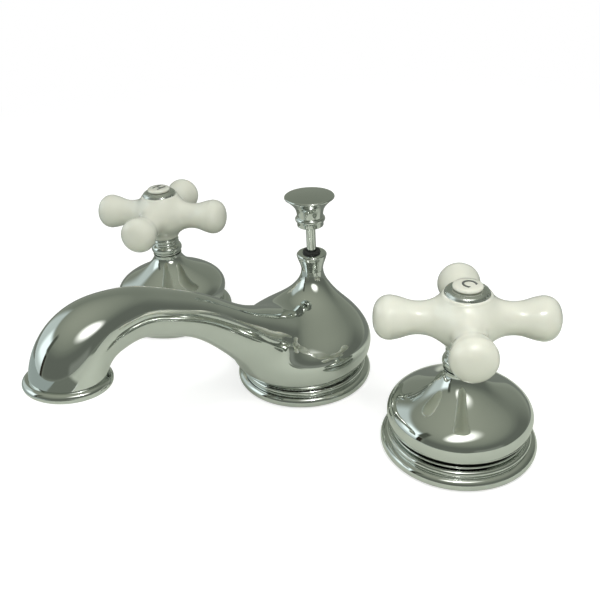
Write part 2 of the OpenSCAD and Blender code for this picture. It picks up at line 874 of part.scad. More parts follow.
// Aerator in the outlet: housing with an inward lip, screen above the lip, washer on top
module aerator_housing() {
    lip_top = housing_z + housing_lip_t;
    color("silver")
        at_outlet() {
            ring(housing_in_r, outlet_bore_r - fit, housing_z, housing_top);
            ring(housing_lip_r, housing_in_r + join, housing_z, lip_top);
        }
}

// Round screen with a square grid of openings
module aerator_screen() {
    holes = floor(housing_lip_r / screen_pitch);
    color("gainsboro")
        at_outlet()
            difference() {
                translate([0, 0, screen_z]) cylinder(r = housing_in_r - 0.1, h = screen_t);
                for (i = [-holes:holes], j = [-holes:holes])
                    if (norm([i, j]) * screen_pitch < housing_lip_r - 0.2)
                        translate([i * screen_pitch, j * screen_pitch, screen_z + screen_t / 2])
                            cube([screen_hole, screen_hole, 2 * screen_t], center = true);
            }
}

module aerator_washer() {
    color("dimgray")
        at_outlet() ring(waterway_r + 2, outlet_bore_r - clear, housing_top, outlet_bore_depth);
}

module rod_bushing() {
    outside = bushing_r - fit / 2;
    color("black")
        at_rod()
            lathe([
                [rod_r + fit, bushing_z], [outside, bushing_z],
                [outside, bushing_top - bushing_round], [outside - bushing_round, bushing_top],
                [rod_r + fit, bushing_top]
            ]);
}

// Lift rod: a groove for a clip above its free end, and a cross hole in that end
module lift_rod() {
    groove_z = rod_end_length - rod_drop;
    color("silver")
        at_rod()
            difference() {
                translate([0, 0, -rod_drop]) cylinder(r = rod_r, h = rod_drop + rod_top);
                ring(rod_r - rod_groove_depth, rod_r + 1, groove_z, groove_z + rod_groove_w);
                translate([-rod_r - 1, 0, rod_pin_hole_place - rod_drop])
                    rotate([0, 90, 0]) cylinder(r = rod_pin_hole_r, h = 2 * rod_r + 2);
            }
}

// Knob: a collar, a bead and a flare up to the thin edge of the domed top
module lift_knob() {
    collar_h = 2.3;
    edge_z = knob_profile[len(knob_profile) - 1][0] + 0.4;
    color("silver")
        at_rod()
            translate([0, 0, knob_z])
                lathe(concat(
                    [[rod_r, 0], [knob_neck_r - 0.4, 0], [knob_neck_r, 0.4], [knob_neck_r, collar_h]],
                    arc(knob_neck_r - 0.5, collar_h + knob_bead_r, knob_bead_r, -70, 75, 8),
                    [for (p = samples(knob_profile, 12)) [p[1], p[0]]],
                    arc(knob_r - 2 * knob_edge_r, edge_z, knob_edge_r, -10, 80, 4),
                    [[knob_r * 0.62, knob_top - knob_z - 0.5], [knob_r * 0.31, knob_top - knob_z - 0.1],
                     [0, knob_top - knob_z], [0, rod_top - knob_z], [rod_r, rod_top - knob_z]]
                ));
}

// Places of the two handles; what turns with a handle has that handle's angle as well
module at_hot() {
    translate([-hot_spacing, 0, 0]) children();
}
module at_cold() {
    translate([cold_spacing, 0, 0]) children();
}
module hot_turn() {
    at_hot() rotate([0, 0, hot_angle]) children();
}
module cold_turn() {
    at_cold() rotate([0, 0, cold_angle]) children();
}
module spout_base_flange() {
    base_flange(spout_opening_r, false);
}
module handle_flange() {
    base_flange(shank_r + fit, true);
}

spout_body();
spout_base_flange();
spout_gasket();
spout_shank();
spout_o_ring();
spout_rubber_washer();
spout_steel_washer();
spout_lock_nut();
spout_tee();
aerator_housing();
aerator_screen();
aerator_washer();
rod_bushing();
lift_rod();
lift_knob();

at_hot() handle_flange();  // hot_base_flange
at_hot() gasket();  // hot_gasket
at_hot() bell();  // hot_bell
at_hot() valve_body();  // hot_valve_body
at_hot() cartridge();  // hot_cartridge
at_hot() fixed_disc();  // hot_fixed_disc
at_hot() rotary_disc();  // hot_rotary_disc
hot_turn() stem();  // hot_stem
at_hot() bonnet_nut();  // hot_bonnet_nut
at_hot() rubber_washer();  // hot_rubber_washer
at_hot() steel_washer();  // hot_steel_washer
at_hot() lock_nut();  // hot_lock_nut
hot_turn() ferrule();  // hot_ferrule
hot_turn() cross();  // hot_cross
hot_turn() handle_screw();  // hot_screw
hot_turn() index_ring();  // hot_index_ring
hot_turn() index_button();  // hot_index_button

at_cold() handle_flange();  // cold_base_flange
at_cold() gasket();  // cold_gasket
at_cold() bell();  // cold_bell
at_cold() valve_body();  // cold_valve_body
at_cold() cartridge();  // cold_cartridge
at_cold() fixed_disc();  // cold_fixed_disc
at_cold() rotary_disc();  // cold_rotary_disc
cold_turn() stem();  // cold_stem
at_cold() bonnet_nut();  // cold_bonnet_nut
at_cold() rubber_washer();  // cold_rubber_washer
at_cold() steel_washer();  // cold_steel_washer
at_cold() lock_nut();  // cold_lock_nut
cold_turn() ferrule();  // cold_ferrule
cold_turn() cross();  // cold_cross
cold_turn() handle_screw();  // cold_screw
cold_turn() index_ring();  // cold_index_ring
cold_turn() index_button();  // cold_index_button
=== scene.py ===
"""The looks of a widespread basin faucet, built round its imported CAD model.

Metres, +Z up. The deck is z = 0, the spout points toward -Y, hot is at -X and cold at +X.
Tables and outlines of a shape are in millimetres, and turn into metres where their mesh is made.
"""

import json
import math

import bmesh
import bpy
import numpy as np
from mathutils import Matrix, Vector


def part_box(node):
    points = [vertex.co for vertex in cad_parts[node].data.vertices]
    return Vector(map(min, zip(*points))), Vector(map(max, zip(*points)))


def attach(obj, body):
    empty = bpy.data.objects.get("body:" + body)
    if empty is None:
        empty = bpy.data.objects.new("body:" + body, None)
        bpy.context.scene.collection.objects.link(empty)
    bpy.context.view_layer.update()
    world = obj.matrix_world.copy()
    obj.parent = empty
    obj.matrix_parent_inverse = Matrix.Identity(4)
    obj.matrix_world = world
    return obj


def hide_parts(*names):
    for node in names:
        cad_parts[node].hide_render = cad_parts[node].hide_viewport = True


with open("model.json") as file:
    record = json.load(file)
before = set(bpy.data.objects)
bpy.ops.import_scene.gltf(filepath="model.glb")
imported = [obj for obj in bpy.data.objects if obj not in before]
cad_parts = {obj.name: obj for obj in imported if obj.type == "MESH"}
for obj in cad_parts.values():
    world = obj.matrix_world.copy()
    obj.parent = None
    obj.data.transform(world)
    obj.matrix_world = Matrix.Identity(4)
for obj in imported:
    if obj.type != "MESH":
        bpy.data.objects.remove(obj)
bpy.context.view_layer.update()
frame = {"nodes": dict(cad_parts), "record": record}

MM = 0.001
SIDES = ("hot", "cold")


# Places and sizes read from the frame


def axis_of(node):
    """Place on the deck that an upright node stands round, in metres."""
    low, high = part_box(node)
    return Vector(((low.x + high.x) / 2, (low.y + high.y) / 2, 0))


def top_of(node):
    """Height of a node's top, in millimetres."""
    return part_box(node)[1].z / MM


def bottom_of(node):
    """Height of a node's lowest point, in millimetres."""
    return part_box(node)[0].z / MM


def radius_of(node):
    """Half the widest level size of a node that was turned on a lathe, in millimetres."""
    low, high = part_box(node)
    return max(high.x - low.x, high.y - low.y) / 2 / MM


handle_axis = {side: axis_of(side + "_base_flange") for side in SIDES}
spout_axis = Vector((0, 0, 0))
rod_axis = axis_of("lift_rod")


# Camera at the photograph's viewing angle

CAMERA_PLACE = Vector((0.22765, -0.24350, 0.22350))
CAMERA_FORWARD = Vector((-0.60186, 0.64162, -0.47548))
CAMERA_UP = Vector((-0.28729, 0.38158, 0.87856))
CAMERA_LENS = 44.13
SENSOR = 36.0


def make_camera():
    """Camera with no shift and no depth of field."""
    data = bpy.data.cameras.new("camera")
    data.lens = CAMERA_LENS
    data.sensor_width = SENSOR
    data.clip_start = 0.01
    data.clip_end = 50
    right = CAMERA_FORWARD.cross(CAMERA_UP).normalized()
    up = right.cross(CAMERA_FORWARD).normalized()
    turn = Matrix((right, up, -CAMERA_FORWARD.normalized())).transposed()
    camera = bpy.data.objects.new("camera", data)
    camera.location = CAMERA_PLACE
    camera.rotation_euler = turn.to_euler()
    bpy.context.scene.collection.objects.link(camera)
    bpy.context.scene.camera = camera


# Node tools


def empty_tree(owner):
    """Node tree of a material or world, with nothing in it."""
    owner.use_nodes = True
    owner.node_tree.nodes.clear()
    return owner.node_tree


def add_node(tree, kind, **sockets):
    """New node with some of its inputs set by name."""
    node = tree.nodes.new(kind)
    for name, value in sockets.items():
        node.inputs[name].default_value = value
    return node


def maths(tree, operation, first, second=None):
    """Result of a math node on one or two values."""
    node = tree.nodes.new("ShaderNodeMath")
    node.operation = operation
    tree.links.new(first, node.inputs[0])
    if second:
        tree.links.new(second, node.inputs[1])
    return node.outputs["Value"]


def along(tree, direction, vector):
    """Share of a direction or place that lies along a fixed vector."""
    node = tree.nodes.new("ShaderNodeVectorMath")
    node.operation = "DOT_PRODUCT"
    node.inputs[1].default_value = vector
    tree.links.new(direction, node.inputs[0])
    return node.outputs["Value"]


def stepped(tree, value, place, soft, top=1.0):
    """0 below a place and the top value above it; a negative soft width turns it round."""
    edges = {"From Min": place - soft / 2, "From Max": place + soft / 2}
    node = add_node(tree, "ShaderNodeMapRange", **edges)
    node.inputs["To Max"].default_value = top
    node.interpolation_type = "SMOOTHSTEP"
    tree.links.new(value, node.inputs["Value"])
    return node.outputs["Result"]


def between(tree, value, low, high):
    """1 where a value lies between two edges, each given as its place and soft width."""
    above = stepped(tree, value, low[0], low[1])
    below = stepped(tree, value, high[0], -high[1])
    return maths(tree, "MULTIPLY", above, below)


def two_tone(tree, value, first, second):
    """Mix of two colours by a value; the first may be another node's output."""
    node = tree.nodes.new("ShaderNodeMix")
    node.data_type = "RGBA"
    if isinstance(first, bpy.types.NodeSocket):
        tree.links.new(first, node.inputs["A"])
    else:
        node.inputs["A"].default_value = (*first, 1)
    node.inputs["B"].default_value = (*second, 1)
    tree.links.new(value, node.inputs["Factor"])
    return node.outputs["Result"]


def chosen(tree, switch, first, second):
    """Shader that is the second where the switch is on, and the first elsewhere."""
    node = tree.nodes.new("ShaderNodeMixShader")
    tree.links.new(switch, node.inputs["Fac"])
    tree.links.new(first, node.inputs[1])
    tree.links.new(second, node.inputs[2])
    return node.outputs["Shader"]


# Materials

# Values that nearly all of a noise lies between
NOISE_LOW = 0.3
NOISE_HIGH = 0.7


def new_material(name):
    """Empty node material with its output and one principled shader."""
    material = bpy.data.materials.new(name)
    tree = empty_tree(material)
    output = tree.nodes.new("ShaderNodeOutputMaterial")
    shader = tree.nodes.new("ShaderNodeBsdfPrincipled")
    tree.links.new(shader.outputs["BSDF"], output.inputs["Surface"])
    return material, tree, shader


def noise(tree, scale, detail=2.0):
    """Noise in object space; scale is in features per metre."""
    where = tree.nodes.new("ShaderNodeTexCoord")
    texture = add_node(tree, "ShaderNodeTexNoise", Scale=scale, Detail=detail)
    tree.links.new(where.outputs["Object"], texture.inputs["Vector"])
    return texture.outputs["Fac"]


def spread(tree, value, low, high):
    """Noise value stretched to run from low to high."""
    ends = {"From Min": NOISE_LOW, "From Max": NOISE_HIGH, "To Min": low, "To Max": high}
    node = add_node(tree, "ShaderNodeMapRange", **ends)
    tree.links.new(value, node.inputs["Value"])
    return node.outputs["Result"]


def clouded(tree, shader, pattern, dark, light):
    """Gives a shader a base colour that drifts between two colours."""
    colour = two_tone(tree, spread(tree, pattern, 0, 1), dark, light)
    tree.links.new(colour, shader.inputs["Base Color"])


def hazed(tree, shader, pattern, low, high):
    """Gives a shader a roughness that drifts between two values."""
    tree.links.new(spread(tree, pattern, low, high), shader.inputs["Roughness"])


def bump(tree, shader, pattern, depth):
    """Gives a shader a relief of the given depth in metres."""
    node = add_node(tree, "ShaderNodeBump", Strength=1.0, Distance=depth)
    tree.links.new(pattern, node.inputs["Height"])
    tree.links.new(node.outputs["Normal"], shader.inputs["Normal"])


def chrome_material(name, wave_depth, roughness):
    """Polished plating: a slow waviness of the casting below it and faint handling haze."""
    material, tree, shader = new_material(name)
    shader.inputs["Metallic"].default_value = 1.0
    clouded(tree, shader, noise(tree, 60), (0.71, 0.735, 0.71), (0.74, 0.765, 0.74))
    hazed(tree, shader, noise(tree, 140, 4), roughness * 0.6, roughness * 1.4)
    bump(tree, shader, noise(tree, 70, 1.0), wave_depth)
    return material


def porcelain_material(name, colour):
    """Glazed porcelain: a creamy body with faint clouding below a wavy clear glaze."""
    material, tree, shader = new_material(name)
    shade = 0.965
    clouded(tree, shader, noise(tree, 90, 3), [c * shade for c in colour], colour)
    shader.inputs["Roughness"].default_value = 0.22
    shader.inputs["IOR"].default_value = 1.52
    shader.inputs["Coat Weight"].default_value = 1.0
    shader.inputs["Coat Roughness"].default_value = 0.03
    shader.inputs["Subsurface Weight"].default_value = 0.12
    shader.inputs["Subsurface Radius"].default_value = (1.0, 0.8, 0.6)
    shader.inputs["Subsurface Scale"].default_value = 0.003
    bump(tree, shader, noise(tree, 110, 1.0), 0.00006)
    return material


def metal_material(name, dark, light, roughness, grain):
    """Machined or brushed metal; grain is in features per metre."""
    material, tree, shader = new_material(name)
    shader.inputs["Metallic"].default_value = 1.0
    clouded(tree, shader, noise(tree, grain, 4), dark, light)
    hazed(tree, shader, noise(tree, grain * 2, 3), roughness * 0.8, roughness * 1.2)
    bump(tree, shader, noise(tree, grain * 3, 2), 0.00003)
    return material


def dull_material(name, dark, light, roughness, grain):
    """Rubber, plastic, paint or unglazed ceramic; grain is in features per metre."""
    material, tree, shader = new_material(name)
    clouded(tree, shader, noise(tree, grain, 4), dark, light)
    hazed(tree, shader, noise(tree, grain, 2), roughness * 0.85, roughness * 1.1)
    bump(tree, shader, noise(tree, grain * 4, 2), 0.00004)
    return material


chrome = chrome_material("chrome", wave_depth=0.000012, roughness=0.05)
chrome_small = chrome_material("chrome_small", wave_depth=0.00001, roughness=0.07)
satin_chrome = chrome_material("satin_chrome", wave_depth=0.00002, roughness=0.24)
porcelain = porcelain_material("porcelain", (0.73, 0.733, 0.65))
brass = metal_material("brass", (0.55, 0.40, 0.17), (0.68, 0.52, 0.26), 0.3, 900)
steel = metal_material("steel", (0.50, 0.50, 0.50), (0.62, 0.62, 0.62), 0.32, 700)
# Near-black metal used as painted shade in the flanges' upper groove and on the step under a bell, where
# the shadow falls
painted_groove_shade = metal_material("painted_groove_shade", (0.05, 0.05, 0.045), (0.09, 0.09, 0.08), 0.35, 800)
rubber = dull_material("rubber", (0.012, 0.012, 0.012), (0.03, 0.03, 0.03), 0.6, 1500)
disc_ceramic = dull_material("disc_ceramic", (0.82, 0.82, 0.80), (0.90, 0.90, 0.88), 0.35, 600)
plastic = dull_material("cartridge_plastic", (0.70, 0.69, 0.65), (0.78, 0.77, 0.73), 0.45, 500)
mark_paint = dull_material("mark_paint", (0.06, 0.065, 0.06), (0.10, 0.105, 0.10), 0.4, 1200)

SLOT_MATERIALS = {
    "chrome_body": chrome,
    "chrome_trim": chrome_small,
    "porcelain": porcelain,
    "brass_fittings": brass,
    "rubber_seals": rubber,
    "steel_washers": steel,
    "ceramic_discs": disc_ceramic,
    "cartridge_plastic": plastic,
}


def dress_frame():
    """Gives every CAD node the material of its slot."""
    for part in frame["record"]["subparts"]:
        node = frame["nodes"][part["node"]]
        node.data.materials.clear()
        node.data.materials.append(SLOT_MATERIALS[part["material_slot"]])


# Curves


def spline(table, x):
    """Natural cubic spline through a table of (x, value) rows, read at x."""
    knots, values = np.asarray(table, float).T
    step = np.diff(knots)
    slope = np.diff(values) / step
    n = len(knots)
    system, right = np.eye(n), np.zeros(n)
    for i in range(1, n - 1):
        system[i, i - 1 : i + 2] = step[i - 1], 2 * (step[i - 1] + step[i]), step[i]
        right[i] = 6 * (slope[i] - slope[i - 1])
    bend = np.linalg.solve(system, right)
    x = np.clip(np.asarray(x, float), knots[0], knots[-1])
    i = np.clip(np.searchsorted(knots, x, side="right") - 1, 0, n - 2)
    u, h = x - knots[i], step[i]
    return (
        values[i]
        + u * (slope[i] - h * (2 * bend[i] + bend[i + 1]) / 6)
        + u**2 * bend[i] / 2
        + u**3 * (bend[i + 1] - bend[i]) / (6 * h)
    )


def spline_and_slope(table, x):
    """Value and slope of the spline through a table."""
    reach = 0.2
    slope = (spline(table, x + reach) - spline(table, x - reach)) / (2 * reach)
    return spline(table, x), slope


def profile(table, steps):
    """(radius, height) points on the spline through a table of (height, radius) rows."""
    heights = np.linspace(table[0][0], table[-1][0], steps + 1)
    return list(zip(spline(table, heights), heights))


def arc(centre_r, centre_z, radius, start, end, steps):
    """(radius, height) points on an arc; angles in degrees."""
    angles = np.radians(np.linspace(start, end, steps + 1))
    return [(centre_r + radius * math.cos(a), centre_z + radius * math.sin(a)) for a in angles]


# Pieces and turned meshes

SHARP_ANGLE = math.radians(32)
# Points nearer than this are one point, in metres
SAME_POINT = 1e-7


def new_piece(name, mesh, body, material, replaced=None):
    """Mesh object that rides on a CAD body and may stand for a CAD node."""
    piece = bpy.data.objects.new(name, mesh)
    bpy.context.scene.collection.objects.link(piece)
    mesh.materials.append(material)
    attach(piece, body)
    if replaced:
        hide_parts(replaced)
    return piece


def smooth_mesh(name, points, faces):
    """Mesh shaded smooth, apart from edges that turn sharply."""
    mesh = bpy.data.meshes.new(name)
    mesh.from_pydata([tuple(p) for p in points], [], faces)
    editor = bmesh.new()
    editor.from_mesh(mesh)
    bmesh.ops.remove_doubles(editor, verts=editor.verts, dist=SAME_POINT)
    bmesh.ops.recalc_face_normals(editor, faces=editor.faces)
    for face in editor.faces:
        face.smooth = True
    for edge in editor.edges:
        turns = len(edge.link_faces) == 2 and edge.calc_face_angle(0) > SHARP_ANGLE
        edge.smooth = not turns
    editor.to_mesh(mesh)
    editor.free()
    return mesh


def lathe(name, outline, place, steps=144, closed=True):
    """Mesh of an outline of (radius, height) points, turned about the Z axis of its place."""
    outline = [(max(r, 0) * MM, z * MM) for r, z in outline]
    turns = [2 * math.pi * k / steps for k in range(steps)]
    points = [
        place @ Vector((r * math.cos(a), r * math.sin(a), z)) for a in turns for r, z in outline
    ]
    count = len(outline)
    spans = count if closed else count - 1
    faces = []
    for k in range(steps):
        here, there = k * count, (k + 1) % steps * count
        for i in range(spans):
            j = (i + 1) % count
            faces.append((here + i, there + i, there + j, here + j))
    return smooth_mesh(name, points, faces)


# Meshes of blended bodies, from a field that is negative inside the body

# Fine grid steps in one coarse step, and the most places that are worked out at once
COARSE = 4
BATCH = 40000
# The four cells round a grid edge, as steps back along the two axes across it
CELLS_ROUND_EDGE = ((0, 0), (1, 0), (1, 1), (0, 1))


def sampled(field, low, cell, index):
    """Field at the given grid places, a batch at a time."""
    batches = np.array_split(low + cell * index, len(index) // BATCH + 1)
    return np.concatenate([field(batch) for batch in batches])


def refined(value, axis):
    """Grid with COARSE steps for each step along an axis, filled in straight."""
    size = value.shape[axis]
    place = np.arange((size - 1) * COARSE + 1) / COARSE
    before = np.minimum(place.astype(int), size - 2)
    shape = [1, 1, 1]
    shape[axis] = -1
    share = (place - before).reshape(shape)
    return np.take(value, before, axis) * (1 - share) + np.take(value, before + 1, axis) * share


def field_grid(field, low, high, cell):
    """Field on a grid: worked out coarsely, and again on the fine places near the surface."""
    coarse = np.ceil((high - low) / cell / COARSE).astype(int) + 1
    places = np.indices(coarse).reshape(3, -1).T
    value = sampled(field, low, cell * COARSE, places).reshape(coarse)
    for axis in range(3):
        value = refined(value, axis)
    near = np.argwhere(np.abs(value) < cell * COARSE)
    value[tuple(near.T)] = sampled(field, low, cell, near)
    return value


def cells_beside(places, axes, steps_back, counts):
    """Cells so many steps back from grid places along two axes, and which of them are on the grid."""
    index = places.copy()
    index[:, axes[0]] -= steps_back[0]
    index[:, axes[1]] -= steps_back[1]
    return index, ((index >= 0) & (index < counts)).all(1)


def edge_crossings(value, axis, low, cell):
    """Grid edges along an axis that cross the surface: place, crossing point, and if it leads outward."""
    size = value.shape[axis]
    first = np.take(value, range(size - 1), axis)
    second = np.take(value, range(1, size), axis)
    crossed = (first < 0) != (second < 0)
    where = np.argwhere(crossed)
    share = (first / (first - second + (first == second)))[crossed]
    point = low + cell * where
    point[:, axis] += cell * share
    return where, point, first[crossed] < 0


def surface_net(field, low, high, cell):
    """Points and four-sided faces on the surface where a field is zero, on a grid of a given step."""
    low, high = np.array(low, float), np.array(high, float)
    value = field_grid(field, low, high, cell)
    counts = np.array(value.shape) - 1
    crossings = [edge_crossings(value, axis, low, cell) for axis in range(3)]
    across = [(1, 2), (2, 0), (0, 1)]

    total = np.zeros((*counts, 3))
    hits = np.zeros(counts)
    for axes, (where, point, _) in zip(across, crossings):
        for steps_back in CELLS_ROUND_EDGE:
            index, kept = cells_beside(where, axes, steps_back, counts)
            np.add.at(total, tuple(index[kept].T), point[kept])
            np.add.at(hits, tuple(index[kept].T), 1)
    used = hits > 0
    number = np.full(counts, -1)
    number[used] = np.arange(used.sum())

    faces = []
    for axes, (where, _, outward) in zip(across, crossings):
        round_edge = [cells_beside(where, axes, back, counts) for back in CELLS_ROUND_EDGE]
        whole = np.all([kept for _, kept in round_edge], axis=0)
        quads = np.stack([number[tuple(index[whole].T)] for index, _ in round_edge], 1)
        flip = ~outward[whole]
        quads[flip] = quads[flip][:, ::-1]
        faces.append(quads)
    return total[used] / hits[used][:, None], np.concatenate(faces)


def gradient(field, points, reach=0.15):
    """Direction in which the field grows, at each point."""
    steps = np.eye(3) * reach
    slopes = np.stack([field(points + s) - field(points - s) for s in steps], -1)
    return slopes / (2 * reach)


def settled(field, points, rounds=3):
    """Points moved along the gradient onto the surface."""
    least_slope = 0.05
    for _ in range(rounds):
        slope = gradient(field, points)
        size = np.maximum((slope**2).sum(1), least_slope)
        points = points - slope * (field(points) / size)[:, None]
    return points


def cut_off(editor, point, normal, reach):
    """Takes off what lies beyond a plane, among the faces within reach of a point on it."""
    centre = Vector(point)
    near = [f for f in editor.faces if (f.calc_center_median() / MM - centre).length < reach]
    # A dict keeps its order where a set doesn't, so the mesh is the same each run
    edges = dict.fromkeys(edge for face in near for edge in face.edges)
    corners = dict.fromkeys(corner for face in near for corner in face.verts)
    bmesh.ops.bisect_plane(
        editor,
        geom=[*corners, *edges, *near],
        plane_co=centre * MM,
        plane_no=Vector(normal),
        clear_outer=True,
    )


def field_mesh(name, field, low, high, cell, cuts=()):
    """Smooth mesh of a field, cut off by planes given as point, outward normal and reach."""
    points, faces = surface_net(field, low, high, cell)
    points = settled(field, points)
    mesh = bpy.data.meshes.new(name)
    mesh.from_pydata((points * MM).tolist(), [], faces.tolist())
    editor = bmesh.new()
    editor.from_mesh(mesh)
    for point, normal, reach in cuts:
        cut_off(editor, point, normal, reach)
    for face in editor.faces:
        face.smooth = True
    editor.to_mesh(mesh)
    editor.free()
    normals = gradient(field, np.array([v.co for v in mesh.vertices]) / MM)
    normals /= np.maximum(np.linalg.norm(normals, axis=1), 1e-9)[:, None]
    mesh.normals_split_custom_set_from_vertices(normals.tolist())
    return mesh


def smooth_min(a, b, width):
    """Lesser of two distances, blended over a width."""
    overlap = np.clip(width - np.abs(a - b), 0, None) / width
    return np.minimum(a, b) - overlap**2 * width / 4


def smooth_max(a, b, width):
    """Greater of two distances, blended over a width."""
    return -smooth_min(-a, -b, width)


# Base flanges

FLANGE_TOP = top_of("spout_base_flange")
FLANGE_R = radius_of("spout_base_flange")
LEDGE_Z = bottom_of("hot_bell")
# Recess for the gasket below, floor on which the clamped piece stands, and wall round that piece
GASKET_RECESS = top_of("hot_gasket")
FLANGE_FLOOR = 6.0
FLANGE_INSIDE = 26.6
SIDE_BORE = 13.1
SPOUT_BORE = 19.03
# Radii of the three beads, the lowest first
BIG_BEAD = 2.85
MIDDLE_BEAD = 1.42
THIN_BEAD = 0.5
MIDDLE_BEAD_R = FLANGE_R - 4.25
MIDDLE_BEAD_Z = 7.1
THIN_BEAD_R = FLANGE_R - 5.2
# Groove between the two upper beads, and radius of the step that carries a bell
GROOVE_R = FLANGE_R - 6.2
GROOVE_LOW = 8.75
GROOVE_HIGH = 9.0
NECK_R = FLANGE_R - 7.2
LEDGE_OUT = 1.4
CENTRING_H = 2
# Faces between these radii and above this height get painted shade: a dark metal that stands for the
# shadow in the upper groove and on the step under a bell
DARK_IN = FLANGE_INSIDE + 0.2
DARK_OUT = GROOVE_R + 0.3
DARK_LOW = GROOVE_LOW - 0.45


def flange_outline(bore, ledge):
    """Three beads with grooves between them, and a flat top or the step that carries a bell."""
    outline = [(THIN_BEAD_R, 0.05)]
    outline += arc(FLANGE_R - BIG_BEAD, BIG_BEAD, BIG_BEAD, -90, 80, 40)
    outline += arc(MIDDLE_BEAD_R, MIDDLE_BEAD_Z, MIDDLE_BEAD, -58, 100, 24)
    outline += [(GROOVE_R, GROOVE_LOW), (GROOVE_R, GROOVE_HIGH)]
    outline += arc(THIN_BEAD_R, FLANGE_TOP - THIN_BEAD, THIN_BEAD, -80, 90, 12)
    if ledge:
        outline += [(NECK_R, FLANGE_TOP), (NECK_R, LEDGE_Z - 1)]
        outline += [(NECK_R + LEDGE_OUT, LEDGE_Z), (NECK_R, LEDGE_Z)]
        outline += [(NECK_R - 0.4, LEDGE_Z + CENTRING_H), (FLANGE_INSIDE, LEDGE_Z + CENTRING_H)]
    else:
        outline += [(FLANGE_INSIDE, FLANGE_TOP)]
    outline += [(FLANGE_INSIDE, FLANGE_FLOOR), (bore, FLANGE_FLOOR)]
    return outline + [(bore, GASKET_RECESS), (THIN_BEAD_R, GASKET_RECESS)]


def paint_groove_shade(mesh, axis):
    """Gives the faces of the upper groove and of the step below a bell a dark metal, as painted shade for
    the shadow in these recesses.
    """
    mesh.materials.append(painted_groove_shade)
    for face in mesh.polygons:
        from_axis = math.hypot(face.center.x - axis.x, face.center.y - axis.y) / MM
        if DARK_IN < from_axis < DARK_OUT and face.center.z / MM > DARK_LOW:
            face.material_index = 1


def make_flange(name, axis, bore, ledge, node):
    """One flange in place of its CAD node."""
    mesh = lathe(name, flange_outline(bore, ledge), Matrix.Translation(axis))
    new_piece(name, mesh, "base", chrome, node)
    paint_groove_shade(mesh, axis)


def make_flanges():
    """The raised flanges below the bells, and the flat one below the spout."""
    for side in SIDES:
        name = side + "_flange_ring"
        make_flange(name, handle_axis[side], SIDE_BORE, True, side + "_base_flange")
    make_flange("spout_flange_ring", spout_axis, SPOUT_BORE, False, "spout_base_flange")


# Bells

BELL_R = radius_of("hot_bell")
BELL_TOP = top_of("hot_bell")
RIM_EDGE = 1.2
RIM_R = BELL_R - 0.7
BELL_TABLE = [
    (LEDGE_Z + RIM_EDGE, RIM_R),
    (17.2, BELL_R),
    (20.4, BELL_R - 0.75),
    (23.2, BELL_R - 3.0),
    (25.8, BELL_R - 6.7),
    (28.5, BELL_R - 11.8),
    (31.5, BELL_R - 17),
    (34.5, BELL_R - 20.9),
    (37.5, BELL_R - 23.4),
    (40, BELL_R - 24.4),
    (BELL_TOP, BELL_R - 24.2),
]
# The inside follows the outside between two heights, so much nearer to the axis and lower
BELL_WALL = 2.8
BELL_SINK = 0.6
HOLLOW_LOW = 17
HOLLOW_HIGH = 36
MOUTH_R = BELL_R - 4.1
MOUTH_TOP = 15
# Holes for the stem and for the sleeve of the bonnet nut
STEM_HOLE_R = 4.4
SLEEVE_HOLE_R = 7.56
SLEEVE_HOLE_TOP = 36.7


def bell_outline():
    """Rolled rim, swept shoulder and hollow inside."""
    outside = arc(RIM_R - RIM_EDGE, LEDGE_Z + RIM_EDGE, RIM_EDGE, -90, -8, 12)
    outside += profile(BELL_TABLE, 110)
    inside = [
        (max(r - BELL_WALL, SLEEVE_HOLE_R), z - BELL_SINK)
        for r, z in outside[::-1]
        if HOLLOW_LOW < z < HOLLOW_HIGH
    ]
    outline = outside + [(STEM_HOLE_R, BELL_TOP), (STEM_HOLE_R, SLEEVE_HOLE_TOP)]
    outline += [(SLEEVE_HOLE_R, SLEEVE_HOLE_TOP)] + inside
    return outline + [(MOUTH_R, MOUTH_TOP), (MOUTH_R, LEDGE_Z)]


def make_bells():
    """The two bells, which are alike."""
    for side in SIDES:
        name = side + "_bell_shell"
        mesh = lathe(name, bell_outline(), Matrix.Translation(handle_axis[side]))
        new_piece(name, mesh, "base", chrome, side + "_bell")


# Porcelain crosses

HUB_Z = bottom_of("hot_cross")
HUB_TOP = top_of("hot_cross")
ARM_Z = HUB_Z + 14.2
# Radius of a bar at distances from the axis, up to where its rounded tip starts
BAR_TABLE = [(-1, 9.9), (8, 9.3), (13, 8.3), (19, 7.25), (24, 7.75), (28, 9.0), (31.6, 9.75)]
TIP_START, TIP_R = BAR_TABLE[-1]
TIP_LENGTH = 7.7
TIP_POWER = 2.35
# Evens out how steeply the gaps of a bar and of its tip grow
BAR_STEEPNESS = 0.97
TIP_STEEPNESS = 1.05
# Radius of the hub at heights
HUB_TABLE = [
    (HUB_Z, 7.7),
    (54, 8.5),
    (57, 10.2),
    (60.5, 12.4),
    (65.7, 13.2),
    (70, 12.4),
    (73.5, 11),
    (HUB_TOP, 10.2),
]
# Widths of the blends between the bars and with the hub, and of the edges at both ends
BARS_BLEND = 6
HUB_BLEND = 5
TOP_EDGE = 1.2
FOOT_EDGE = 0.6
# The porcelain rises this far above the hub's top, inside the index ring
RING_RISE = 1.5
CROSS_REACH = 41
CROSS_LOW = 50
CROSS_HIGH = 78
CROSS_CELL = 0.7


def bar_gap(points, lengthwise, across):
    """Signed distance from one bar of the cross, along the given level axis."""
    t = np.abs(points[:, lengthwise])
    reach = np.hypot(points[:, across], points[:, 2] - ARM_Z)
    body = (reach - spline(BAR_TABLE, np.clip(t, 0, TIP_START))) * BAR_STEEPNESS
    rounded = (np.abs(t - TIP_START) / TIP_LENGTH) ** TIP_POWER + (reach / TIP_R) ** TIP_POWER
    tip = (rounded ** (1 / TIP_POWER) - 1) * TIP_LENGTH
    return np.where(t > TIP_START, tip * TIP_STEEPNESS, body)


